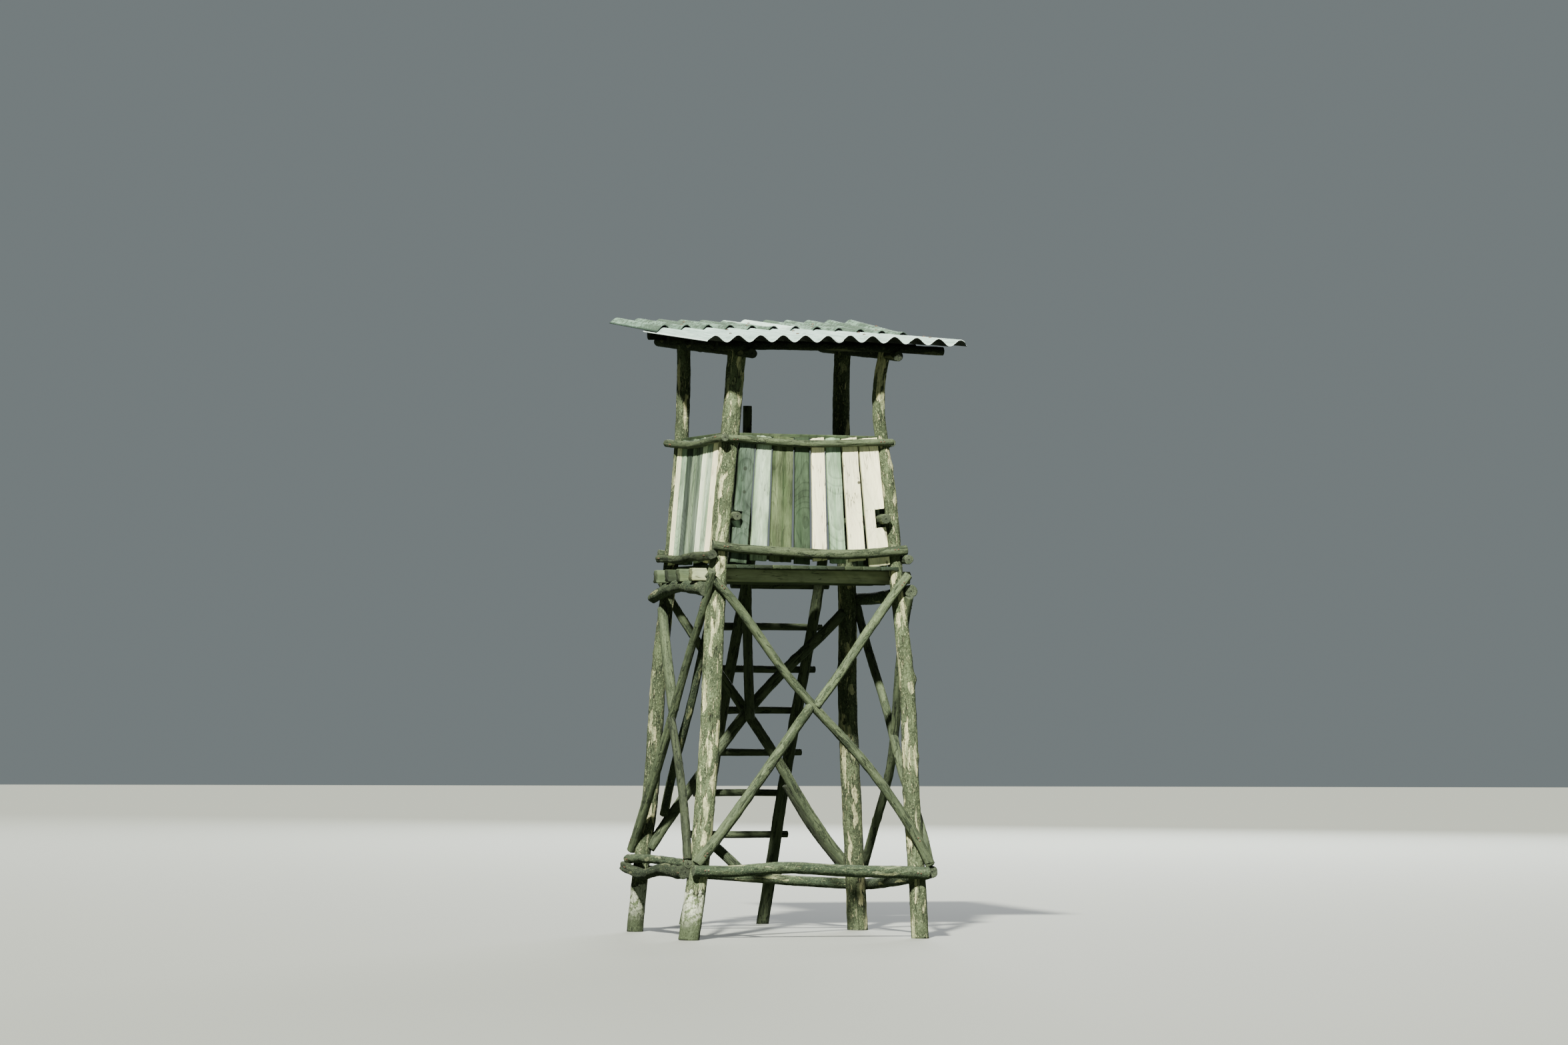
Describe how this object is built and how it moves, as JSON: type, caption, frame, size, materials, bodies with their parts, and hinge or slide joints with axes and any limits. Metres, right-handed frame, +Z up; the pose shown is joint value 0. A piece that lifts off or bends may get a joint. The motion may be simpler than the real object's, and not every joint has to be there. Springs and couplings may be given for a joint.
{
  "type": "hunting tower",
  "caption": "Raised hunting tower of round logs with a boarded cabin, a leaning ladder at the back and a corrugated lean-to roof.",
  "frame": {"origin": "middle of the plan on the ground", "axes": "+Z up, -Y out of the front with the boarded parapet, +X to the right seen from the front; the ladder stands on the +Y side"},
  "size_m": [2.1856, 2.8381, 4.8277],
  "materials": {
    "bark_log": "weathered grey bark with bare streaks",
    "bare_log": "weathered debarked log",
    "squared_timber": "weathered sawn timber",
    "front_board": "old boards, cream to blue-grey, some greenish",
    "side_board": "old weathered boards, grey-green",
    "floor_board": "old weathered boards",
    "roof_sheet": "corrugated fibre-cement, worn pale with moss"
  },
  "bodies": {
    "root": {"back_bottom_rail": "bare_log", "back_falling_brace": "bare_log", "back_falling_branch": "bare_log", "back_left_sheet": "roof_sheet", "back_right_sheet": "roof_sheet", "back_rising_brace": "bare_log", "back_sill_log": "bark_log", "back_top_rail": "bare_log", "back_wall_boards": "side_board", "corner_knee_brace": "bare_log", "entrance_post": "bare_log", "floor_boards": "floor_board", "floor_joists": "squared_timber", "front_bottom_rail": "bare_log", "front_floor_beam": "squared_timber", "front_left_sheet": "roof_sheet", "front_lower_brace": "bare_log", "front_plank": "front_board", "front_right_sheet": "roof_sheet", "front_sill_log": "bark_log", "front_through_brace": "bare_log", "front_top_rail": "bare_log", "front_upper_brace": "bare_log", "front_wall_boards": "front_board", "ladder_rails": "bare_log", "ladder_rungs": "bare_log", "left_bottom_rail": "bare_log", "left_floor_beam": "bark_log", "left_inner_brace": "bark_log", "left_lower_brace": "bare_log", "left_sill_log": "bark_log", "left_through_brace": "bare_log", "left_top_rail": "bare_log", "left_upper_brace": "bare_log", "left_upper_sill_log": "bark_log", "left_wall_boards": "side_board", "post_back_left": "bark_log", "post_back_right": "bark_log", "post_front_left": "bark_log", "post_front_right": "bark_log", "purlins": "bark_log", "rafters": "bark_log", "right_bottom_rail": "bare_log", "right_cross_brace": "bare_log", "right_floor_beam": "bark_log", "right_sill_log": "bark_log", "right_through_brace": "bare_log", "right_top_rail": "bare_log", "right_wall_boards": "side_board", "seat_logs": "bare_log", "side_planks": "side_board"}
  },
  "joints": []
}
